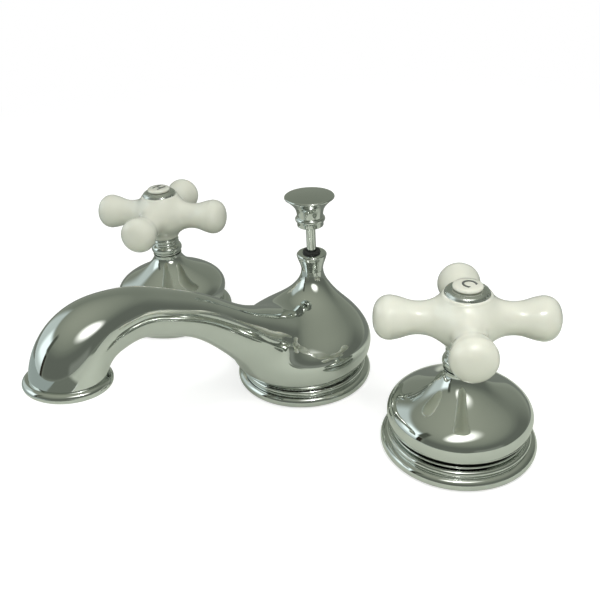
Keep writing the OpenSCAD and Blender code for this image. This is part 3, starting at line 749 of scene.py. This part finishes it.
def hub_gap(points):
    """Signed distance from the hub between the bars."""
    radius, slope = spline_and_slope(HUB_TABLE, points[:, 2])
    return (np.hypot(points[:, 0], points[:, 1]) - radius) / np.sqrt(1 + slope**2)


def cross_gap(points):
    """Signed distance from the porcelain: two bars and the hub in one skin, cut level at both ends."""
    bars = smooth_min(bar_gap(points, 0, 1), bar_gap(points, 1, 0), BARS_BLEND)
    whole = smooth_min(bars, hub_gap(points), HUB_BLEND)
    whole = smooth_max(whole, points[:, 2] - HUB_TOP - RING_RISE, TOP_EDGE)
    return smooth_max(whole, HUB_Z - points[:, 2], FOOT_EDGE)


# Trim of the handles

FERRULE_Z = bottom_of("hot_ferrule")
FERRULE_HOLE_R = 4.06
FERRULE_SKIRT_R = 7.9
FERRULE_TOP_R = 7.7
# Big bead, and the two small ones at these heights above the ferrule's lower end
BIG_TURN = 2.75
BIG_TURN_OUT = 6.2
SMALL_TURN = 0.95
SMALL_TURN_OUT = 6.7
SMALL_TURN_HEIGHTS = (6.3, 8.2)
# Index ring: sleeve in the hub, skirt on the porcelain and dome round the button
RING_HOLE_R = 5.6
RING_SLEEVE_R = 6.9
RING_SLEEVE_H = 1.9
RING_FOOT_R = 9.4
RING_SKIRT_R = 9.65
RING_DOME_R = 2.6
RING_DOME_H = 2.0
RING_TOP = HUB_TOP + RING_RISE + RING_DOME_H
BUTTON_R = 5.54
BUTTON_SINK = 0.9
BUTTON_EDGE = 0.95
BUTTON_H = 2.1


def ferrule_outline():
    """Big bead and two small ones between the bell and the porcelain."""
    outline = [(FERRULE_HOLE_R, FERRULE_Z), (FERRULE_SKIRT_R, FERRULE_Z)]
    outline += arc(BIG_TURN_OUT, FERRULE_Z + BIG_TURN, BIG_TURN, -50, 62, 28)
    for height in SMALL_TURN_HEIGHTS:
        outline += arc(SMALL_TURN_OUT, FERRULE_Z + height, SMALL_TURN, -60, 60, 10)
    return outline + [(FERRULE_TOP_R, HUB_Z), (FERRULE_HOLE_R, HUB_Z)]


def index_ring_outline():
    """Ring on top of the hub, with a dome that closes in on the button."""
    outline = [(RING_HOLE_R, HUB_TOP - RING_SLEEVE_H), (RING_SLEEVE_R, HUB_TOP - RING_SLEEVE_H)]
    outline += [(RING_SLEEVE_R, HUB_TOP), (RING_FOOT_R, HUB_TOP)]
    outline += [(RING_SKIRT_R, HUB_TOP + RING_RISE)]
    flatter = RING_DOME_H / RING_DOME_R
    for r, z in arc(RING_SLEEVE_R, 0, RING_DOME_R, 8, 84, 12):
        outline.append((r, HUB_TOP + RING_RISE + z * flatter))
    return outline + [(RING_HOLE_R, RING_TOP)]


def button_outline():
    """White button with a round edge and a slightly domed top."""
    outline = [(0, HUB_TOP - BUTTON_SINK), (BUTTON_R, HUB_TOP - BUTTON_SINK), (BUTTON_R, RING_TOP)]
    outline += arc(5.5, RING_TOP + BUTTON_EDGE, BUTTON_EDGE, -75, 62, 14)
    top = RING_TOP + BUTTON_H
    return outline + [(4.2, top - 0.12), (2.2, top - 0.03), (0, top)]


def turned(side):
    """Place of a handle at rest: its axis, and the turn of its bars read from the CAD arms."""
    vertices = frame["nodes"][side + "_cross"].data.vertices
    axis = handle_axis[side]
    far = max(vertices, key=lambda v: (v.co.x - axis.x) ** 2 + (v.co.y - axis.y) ** 2).co - axis
    return Matrix.Translation(axis) @ Matrix.Rotation(math.atan2(far.y, far.x), 4, "Z")


def make_handles():
    """The two handles: porcelain cross, ferrule, index ring and button."""
    low = (-CROSS_REACH, -CROSS_REACH, CROSS_LOW)
    high = (CROSS_REACH, CROSS_REACH, CROSS_HIGH)
    cross = field_mesh("cross_porcelain", cross_gap, low, high, CROSS_CELL)
    trim = (
        ("ferrule_turned", ferrule_outline(), chrome_small, "chrome_trim", "ferrule"),
        ("index_bezel", index_ring_outline(), satin_chrome, "chrome_trim", "index_ring"),
        ("index_cap", button_outline(), porcelain, "porcelain", "index_button"),
    )
    for side in SIDES:
        body = side + "_handle"
        place = turned(side)
        name = side + "_cross_porcelain"
        own = cross.copy()
        own.name = name
        own.transform(place)
        new_piece(name, own, body, porcelain, side + "_cross")
        for part, outline, material, slot, node in trim:
            name = side + "_" + part
            new_piece(name, lathe(name, outline, place), body, material, side + "_" + node)


# Letters on the index buttons

LETTER_SIZE = 0.0085
LETTER_RISE = 0.00012
LETTER_WEIGHT = 0.00008
LETTER_TURN = {"hot": math.radians(3), "cold": math.radians(-16)}


def make_letter(side, letter):
    """Painted letter on top of an index button, a little proud of it."""
    data = bpy.data.curves.new(side + "_mark", "FONT")
    data.body = letter
    data.align_x = "CENTER"
    data.align_y = "CENTER"
    data.size = LETTER_SIZE
    data.extrude = LETTER_RISE
    data.offset = LETTER_WEIGHT
    text = bpy.data.objects.new(side + "_mark_text", data)
    bpy.context.scene.collection.objects.link(text)
    top = handle_axis[side] + Vector((0, 0, (RING_TOP + BUTTON_H) * MM))
    text.matrix_world = Matrix.Translation(top) @ Matrix.Rotation(LETTER_TURN[side], 4, "Z")
    bpy.context.view_layer.update()
    shown = text.evaluated_get(bpy.context.evaluated_depsgraph_get())
    mesh = bpy.data.meshes.new_from_object(shown)
    mesh.transform(text.matrix_world)
    bpy.data.objects.remove(text)
    mesh.materials.clear()
    new_piece(side + "_mark", mesh, side + "_handle", mark_paint)


# Spout body

# Height and radius of the belly
BELLY_TABLE = [
    (FLANGE_TOP, 31.6),
    (16, 35.2),
    (22.5, 36.6),
    (29, 34.2),
    (34, 28.8),
    (39, 21.3),
    (44, 14.4),
    (49, 9.4),
    (54.5, 6.2),
    (57.5, 5.6),
]
# Height and place on Y of the belly's axis
SETBACK_TABLE = [
    (FLANGE_TOP, -0.9),
    (20, -1.5),
    (30, -0.8),
    (38, 3.8),
    (46, 8),
    (52, 9.3),
    (57.5, 9.6),
]
# Reach forward, height and radius along the spout
SPOUT_LINE = [
    (8, 19, 22),
    (20, 28, 18.5),
    (31.4, 35.9, 15.8),
    (40, 42.5, 13.4),
    (49, 50, 11.5),
    (67.3, 64.8, 10.0),
    (86.6, 75.4, 10.2),
    (99.5, 80.6, 10.9),
    (111.3, 82.0, 12.3),
    (121.4, 80.7, 13.6),
    (128.3, 76.2, 14.4),
    (132.1, 69.5, 14.7),
    (133.5, 61.5, 14.7),
]
SPOUT_PLACES = 110
BLEND_WIDTH = 9
# The spout's root is wider than high by this share, up to a place from which it turns round
ROOT_WIDENING = 0.18
ROOT_END = 25
ROOT_FADE = 35
# The turned neck takes over from the belly here; the belly's own top lies out of the way above
NECK_Z = 57.4
BELLY_SPARE = 4
BODY_LOW = (-42, -152, 9)
BODY_HIGH = (42, 42, 97)
BODY_CELL = 1.0


def spout_centres():
    """Fine centre line of the spout: x, y, z and radius, through the named places."""
    table = np.array(SPOUT_LINE, float)
    steps = np.r_[0, np.cumsum(np.hypot(*np.diff(table[:, :2], axis=0).T))]
    where = np.linspace(0, steps[-1], SPOUT_PLACES)
    forward, height, radius = (spline(np.c_[steps, column], where) for column in table.T)
    return np.c_[0 * forward, -forward, height, radius]


CENTRES = spout_centres()


def spout_gap(points):
    """Signed distance from the spout, round at each place of its line and wider than high at its root.

    The least gap among the places is read from the parabola through it and its two neighbours.
    """
    forward = np.clip((-points[:, 1] - ROOT_END) / ROOT_FADE, 0, 1)
    wide = 1 + ROOT_WIDENING * (1 - forward**2 * (3 - 2 * forward))
    points = np.c_[points[:, 0] / wide, points[:, 1:]]
    gaps = np.linalg.norm(points[:, None] - CENTRES[:, :3], axis=-1) - CENTRES[:, 3]
    least = np.clip(gaps.argmin(1), 1, len(CENTRES) - 2)
    row = np.arange(len(points))
    before, here, after = gaps[row, least - 1], gaps[row, least], gaps[row, least + 1]
    bend = np.maximum(before - 2 * here + after, 1e-6)
    shift = np.clip((before - after) / (2 * bend), -1, 1)
    return here + shift * (after - before) / 2 + shift**2 * bend / 2


def belly_gap(points):
    """Signed distance from the belly, round at each height about an axis that leans back."""
    height = points[:, 2]
    radius, slope = spline_and_slope(BELLY_TABLE, height)
    from_axis = np.hypot(points[:, 0], points[:, 1] - spline(SETBACK_TABLE, height))
    return np.maximum((from_axis - radius) / np.sqrt(1 + slope**2), height - NECK_Z - BELLY_SPARE)


def body_gap(points):
    """Signed distance from belly and spout in one skin."""
    return smooth_min(belly_gap(points), spout_gap(points), BLEND_WIDTH)


# Neck and outlet of the spout body

NECK_TABLE = [(NECK_Z + 0.2, 5.5), (60, 5.9), (62.5, 6.7), (64.4, 7.35)]
LIP_R = 7.65
LIP_EDGE = 1.15
LIP_Z = 66.9
BUSHING_SEAT = bottom_of("rod_bushing")
BUSHING_HOLE_R = 4.5
ROD_HOLE_R = 3
# Middle of the outlet's rim, and how far the outflow leans back from straight down
OUTLET = Vector((0, -133, 65.8))
OUTLET_TILT = math.radians(-7.9)
OUTLET_R = 16.95
OUTLET_BEAD = 2.0
OUTLET_BEAD_Z = 0.65
AERATOR_HOLE_R = 12.45
AERATOR_HOLE_H = 9
# Reach of each cut of the skin, which spares what lies beyond its plane further off
FLANGE_CUT = 60
NECK_CUT = 14
OUTLET_CUT = 28


def outlet_place():
    """Frame of the outlet: its origin in the middle of the rim, and Z up into the spout."""
    return Matrix.Translation(OUTLET * MM) @ Matrix.Rotation(OUTLET_TILT, 4, "X")


def neck_outline():
    """Waisted neck with a rounded lip, and the hole for the rod with the seat of its bushing."""
    outline = [(5.55, NECK_Z - 0.2), (5.6, NECK_Z + 0.1)]
    outline += profile(NECK_TABLE, 24)
    outline += arc(LIP_R - LIP_EDGE, LIP_Z - LIP_EDGE, LIP_EDGE, -40, 90, 20)
    outline += [(BUSHING_HOLE_R + 0.1, LIP_Z), (BUSHING_HOLE_R, BUSHING_SEAT)]
    return outline + [(ROD_HOLE_R, BUSHING_SEAT), (ROD_HOLE_R, NECK_Z - 2)]


def outlet_outline():
    """Rolled bead round the outlet and the hole behind it."""
    outline = [(OUTLET_R - OUTLET_BEAD - 2.0, OUTLET_BEAD_Z - OUTLET_BEAD + 0.4)]
    outline += arc(OUTLET_R - OUTLET_BEAD, OUTLET_BEAD_Z, OUTLET_BEAD, -110, 150, 36)
    outline += [(12.9, 2.4), (AERATOR_HOLE_R, 2.4)]
    return outline + [(AERATOR_HOLE_R, AERATOR_HOLE_H), (6, AERATOR_HOLE_H)]


def make_spout():
    """Blended skin of the spout body, cut off at flange, neck and outlet, with its neck and rim."""
    outlet = outlet_place()
    outflow = -(outlet.to_3x3() @ Vector((0, 0, 1)))
    cuts = [
        ((0, 0, FLANGE_TOP), (0, 0, -1), FLANGE_CUT),
        ((0, rod_axis.y / MM, NECK_Z), (0, 0, 1), NECK_CUT),
        (OUTLET, outflow, OUTLET_CUT),
    ]
    skin = field_mesh("spout_casting", body_gap, BODY_LOW, BODY_HIGH, BODY_CELL, cuts)
    neck = lathe("spout_neck", neck_outline(), Matrix.Translation(rod_axis), steps=96)
    rim = lathe("outlet_rim", outlet_outline(), outlet, closed=False)
    new_piece("spout_casting", skin, "base", chrome, "spout_body")
    new_piece("spout_neck", neck, "base", chrome)
    new_piece("outlet_rim", rim, "base", chrome)


# Knob and bushing of the lift rod

KNOB_Z = bottom_of("lift_knob")
KNOB_TOP = top_of("lift_knob")
KNOB_R = radius_of("lift_knob")
ROD_R = radius_of("lift_rod")
COLLAR_R = 6.6
COLLAR_EDGE = 0.5
COLLAR_H = 2.2
# Bead on the collar, and edge of the flare's top
KNOB_BEAD = 1.4
KNOB_BEAD_OUT = 6.1
KNOB_BEAD_Z = 3.7
KNOB_EDGE = 0.65
KNOB_EDGE_Z = 15.1
# Hole for the rod's end
SOCKET_MOUTH_R = 2.4
SOCKET_H = 6.4
BUSHING_R = 4.45
BUSHING_BORE = 2.44
BUSHING_EDGE = 0.6
BUSHING_LIP = 0.5
BUSHING_LIP_R = 3.0
# Height above the knob's lower end, and radius, up the flare
FLARE_TABLE = [(5.2, 6.5), (7.9, 6.8), (10.4, 7.9), (12.6, 9.8), (14.5, KNOB_R - 0.6)]


def knob_outline():
    """Collar, bead, flare and domed top, with the hole for the rod's end."""
    outline = [(SOCKET_MOUTH_R, 0), (COLLAR_R - COLLAR_EDGE, 0)]
    outline += arc(COLLAR_R - COLLAR_EDGE, COLLAR_EDGE, COLLAR_EDGE, -90, 0, 6)
    outline += [(COLLAR_R, COLLAR_H)]
    outline += arc(KNOB_BEAD_OUT, KNOB_BEAD_Z, KNOB_BEAD, -64, 66, 20)
    outline += profile(FLARE_TABLE, 40)
    outline += arc(KNOB_R - KNOB_EDGE, KNOB_EDGE_Z, KNOB_EDGE, -30, 86, 12)
    outline += [(8, 16.1), (4, 16.5), (0, KNOB_TOP - KNOB_Z), (0, SOCKET_H), (ROD_R, SOCKET_H)]
    return [(r, z + KNOB_Z) for r, z in outline]


def bushing_outline():
    """Rubber sleeve with rounded edges at its top."""
    low, top = bottom_of("rod_bushing"), top_of("rod_bushing")
    outline = [(BUSHING_BORE, low), (BUSHING_R, low), (BUSHING_R, top - BUSHING_EDGE)]
    outline += arc(BUSHING_R - BUSHING_EDGE, top - BUSHING_EDGE, BUSHING_EDGE, 0, 90, 8)
    return outline + arc(BUSHING_LIP_R, top - BUSHING_LIP, BUSHING_LIP, 90, 180, 6)


def make_lift():
    """Knob and bushing; the rod itself is the CAD node."""
    place = Matrix.Translation(rod_axis)
    knob = lathe("lift_knob_turned", knob_outline(), place, steps=96)
    bushing = lathe("bushing_sleeve", bushing_outline(), place, steps=64)
    new_piece("lift_knob_turned", knob, "lift", chrome_small, "lift_knob")
    new_piece("bushing_sleeve", bushing, "base", rubber, "rod_bushing")


# Directions in the studio

# Azimuth in degrees from +X that the room's patches are counted from, on the camera's side
ROOM_MIDDLE = -60


def toward(azimuth):
    """Level unit vector at an azimuth in degrees from +X."""
    angle = math.radians(azimuth)
    return Vector((math.cos(angle), math.sin(angle), 0))


def bearing(tree, direction):
    """Azimuth of a direction, in degrees from the middle of the room."""
    across = along(tree, direction, toward(ROOM_MIDDLE + 90))
    ahead = along(tree, direction, toward(ROOM_MIDDLE))
    return maths(tree, "DEGREES", maths(tree, "ARCTAN2", across, ahead))


def from_middle(edge):
    """Patch edge (azimuth and soft width) with its azimuth counted from the middle of the room."""
    azimuth, soft = edge
    return azimuth - ROOM_MIDDLE, soft


# Floor

FLOOR_SIZE = 4.0
# Distances between which the floor in view fades to plain white
FLOOR_NEAR = 0.30
FLOOR_FAR = 0.75
FLOOR_GLOW = 0.64
# The paper ends toward the camera, where the chrome shows its bright edge and the room behind it
PAPER_WAY = -55
PAPER_END = 0.29
PAPER_EDGE = 0.008
PAPER_EDGE_SOFT = 0.002
# Left and right edge of the sector in which the paper runs on to the horizon
PAPER_SIDES = ((-36, 8), (6, 8))
# Behind the object the floor falls into shade
BACK_WAY = 120
BACK_END = 0.06
BACK_SOFT = 0.05
# At the left the foot of the bright panel lies on it
PANEL_WAY = -160
PANEL_END = 0.18
PANEL_SOFT = 0.06


def glowing(tree, colour, strength=1.0):
    """Plain light of one colour."""
    node = add_node(tree, "ShaderNodeEmission", Color=(*colour, 1), Strength=strength)
    return node.outputs["Emission"]


def matt(tree, colour):
    """Plain matt surface of one colour."""
    return add_node(tree, "ShaderNodeBsdfDiffuse", Color=(*colour, 1)).outputs["BSDF"]


def floor_in_view(tree, place):
    """White floor that keeps the object's shadow, and fades to plain white further out."""
    shadowed = tree.nodes.new("ShaderNodeAddShader")
    tree.links.new(matt(tree, (0.5, 0.5, 0.5)), shadowed.inputs[0])
    tree.links.new(glowing(tree, (1, 1, 1), FLOOR_GLOW), shadowed.inputs[1])
    distance = tree.nodes.new("ShaderNodeVectorMath")
    distance.operation = "LENGTH"
    tree.links.new(place, distance.inputs[0])
    middle, width = (FLOOR_NEAR + FLOOR_FAR) / 2, FLOOR_FAR - FLOOR_NEAR
    far = stepped(tree, distance.outputs["Value"], middle, width)
    return chosen(tree, far, shadowed.outputs["Shader"], glowing(tree, (1, 1, 1)))


def floor_in_mirrors(tree, place):
    """Paper with a bright edge, the room beyond it, the foot of the panel, and shade at the back."""
    paper = matt(tree, (0.55, 0.58, 0.51))
    forward = along(tree, place, toward(PAPER_WAY))
    edge = stepped(tree, forward, PAPER_END, PAPER_EDGE_SOFT)
    shown = chosen(tree, edge, paper, glowing(tree, (0.95, 1.0, 0.95)))
    room = stepped(tree, forward, PAPER_END + PAPER_EDGE, PAPER_EDGE_SOFT)
    shown = chosen(tree, room, shown, glowing(tree, (0.18, 0.2, 0.165)))
    unbroken = between(tree, bearing(tree, place), *map(from_middle, PAPER_SIDES))
    shown = chosen(tree, unbroken, shown, paper)
    panel = stepped(tree, along(tree, place, toward(PANEL_WAY)), PANEL_END, PANEL_SOFT)
    shown = chosen(tree, panel, shown, glowing(tree, (0.36, 0.42, 0.40)))
    back = stepped(tree, along(tree, place, toward(BACK_WAY)), BACK_END, BACK_SOFT)
    return chosen(tree, back, shown, glowing(tree, (0.2, 0.22, 0.19)))


def make_floor():
    """Pale floor: white with a faint shadow in view, grey-green paper in what the chrome reflects."""
    material = bpy.data.materials.new("floor")
    tree = empty_tree(material)
    output = tree.nodes.new("ShaderNodeOutputMaterial")
    path = tree.nodes.new("ShaderNodeLightPath")
    place = tree.nodes.new("ShaderNodeTexCoord").outputs["Object"]
    mirrored, in_view = floor_in_mirrors(tree, place), floor_in_view(tree, place)
    surface = chosen(tree, path.outputs["Is Camera Ray"], mirrored, in_view)
    tree.links.new(surface, output.inputs["Surface"])
    corners = [(x * FLOOR_SIZE, y * FLOOR_SIZE, 0) for x, y in ((-1, -1), (1, -1), (1, 1), (-1, 1))]
    mesh = bpy.data.meshes.new("floor")
    mesh.from_pydata(corners, [], [(0, 1, 2, 3)])
    mesh.materials.append(material)
    floor = bpy.data.objects.new("floor", mesh)
    bpy.context.scene.collection.objects.link(floor)


# World

# Height above the horizon (sine of the elevation) and colour of the room there
ROOM_STOPS = [
    (0.0, (0.31, 0.34, 0.28)),
    (0.15, (0.25, 0.275, 0.225)),
    (0.6, (0.22, 0.243, 0.197)),
    (0.85, (0.31, 0.335, 0.27)),
    (1.0, (0.36, 0.385, 0.31)),
]
# Patches of the room, the later over the earlier. Each has its left and right edge (azimuth from +X
# and soft width, in degrees), its lower and upper edge (elevation and soft width) and its colour.
ROOM_PATCHES = [
    ((-112, 12), (72, 34), (-1, 8), (33, 18), (0.14, 0.155, 0.13)),
    ((-186, 14), (-121, 1.5), (-25, 8), (42, 9), (0.60, 0.68, 0.66)),
    ((-152, 16), (-121, 1.5), (10, 14), (38, 9), (1.25, 1.4, 1.4)),
    ((-121, 1.5), (-113, 3), (-20, 4), (24, 6), (0.03, 0.027, 0.02)),
    ((-124, 4), (-112, 6), (26, 6), (52, 8), (0.09, 0.10, 0.08)),
    ((-36, 10), (6, 10), (-4, 2), (12, 10), (0.24, 0.26, 0.225)),
]
# Even light that the matt surfaces get from all sides
ROOM_LIGHT = (0.76, 0.78, 0.75)


def room_colour(tree, direction):
    """Colour of the room in a direction: grey-green by height, with its patches laid over."""
    height = along(tree, direction, (0, 0, 1))
    ramp = tree.nodes.new("ShaderNodeValToRGB")
    while len(ramp.color_ramp.elements) < len(ROOM_STOPS):
        ramp.color_ramp.elements.new(0.5)
    for element, (place, colour) in zip(ramp.color_ramp.elements, ROOM_STOPS):
        element.position = place
        element.color = (*colour, 1)
    tree.links.new(height, ramp.inputs["Fac"])
    shown = ramp.outputs["Color"]
    azimuth = bearing(tree, direction)
    elevation = maths(tree, "DEGREES", maths(tree, "ARCSINE", height))
    for left, right, low, high, colour in ROOM_PATCHES:
        across = between(tree, azimuth, from_middle(left), from_middle(right))
        mask = maths(tree, "MULTIPLY", across, between(tree, elevation, low, high))
        shown = two_tone(tree, mask, shown, colour)
    return shown


def background(tree, colour):
    """World shader of one colour."""
    return add_node(tree, "ShaderNodeBackground", Color=(*colour, 1)).outputs["Background"]


def make_world():
    """White in view; for the chrome a grey room with a bright panel at the left."""
    world = bpy.data.worlds.new("studio")
    bpy.context.scene.world = world
    tree = empty_tree(world)
    output = tree.nodes.new("ShaderNodeOutputWorld")
    path = tree.nodes.new("ShaderNodeLightPath")
    direction = tree.nodes.new("ShaderNodeTexCoord").outputs["Generated"]
    room = tree.nodes.new("ShaderNodeBackground")
    tree.links.new(room_colour(tree, direction), room.inputs["Color"])
    lit = background(tree, ROOM_LIGHT)
    shown = chosen(tree, path.outputs["Is Glossy Ray"], lit, room.outputs["Background"])
    shown = chosen(tree, path.outputs["Is Camera Ray"], shown, background(tree, (1, 1, 1)))
    tree.links.new(shown, output.inputs["Surface"])


# Lamps

LAMP_COLOUR = (1.0, 0.99, 0.96)
# A lamp has a bright core in a soft veil: reach (share of its size) and soft width of each,
# and the strength of the core against that of the veil
VEIL_REACH = 0.29
VEIL_SOFT = 0.42
CORE_REACH = 0.07
CORE_SOFT = 0.06
CORE_STRENGTH = 14.0


def make_lamp(name, place, target, size, power, mirrored):
    """Oval area light with a bright core, seen by the chrome or not."""
    data = bpy.data.lights.new(name, "AREA")
    data.shape = "ELLIPSE"
    data.size, data.size_y = size
    data.energy = power
    data.color = LAMP_COLOUR
    lamp = bpy.data.objects.new(name, data)
    bpy.context.scene.collection.objects.link(lamp)
    lamp.location = place
    lamp.rotation_euler = (Vector(target) - Vector(place)).to_track_quat("-Z", "Y").to_euler()
    lamp.visible_glossy = mirrored
    lamp.visible_camera = False
    data.use_nodes = True
    tree = data.node_tree
    where = tree.nodes.new("ShaderNodeNewGeometry")
    from_core = tree.nodes.new("ShaderNodeVectorMath")
    from_core.operation = "DISTANCE"
    from_core.inputs[1].default_value = (0.5, 0.5, 0)
    tree.links.new(where.outputs["Parametric"], from_core.inputs[0])
    veil = stepped(tree, from_core.outputs["Value"], VEIL_REACH, -VEIL_SOFT)
    core = stepped(tree, from_core.outputs["Value"], CORE_REACH, -CORE_SOFT, CORE_STRENGTH)
    tree.links.new(maths(tree, "ADD", veil, core), tree.nodes["Emission"].inputs["Strength"])


def make_lamps():
    """One broad soft lamp for shape on the porcelain, and the small near one that the chrome shows."""
    make_lamp("top_box", (0.5, -0.4, 1.3), (0, -0.02, 0), (0.6, 0.6), 6.6, mirrored=False)
    near, target = (0.165, -0.102, 0.245), (0, -0.03, 0.05)
    make_lamp("near_lamp", near, target, (0.27, 0.135), 0.2, mirrored=True)


bpy.context.scene.view_settings.view_transform = "Standard"
make_camera()
dress_frame()
make_flanges()
make_bells()
make_handles()
make_letter("hot", "H")
make_letter("cold", "C")
make_spout()
make_lift()
make_floor()
make_world()
make_lamps()
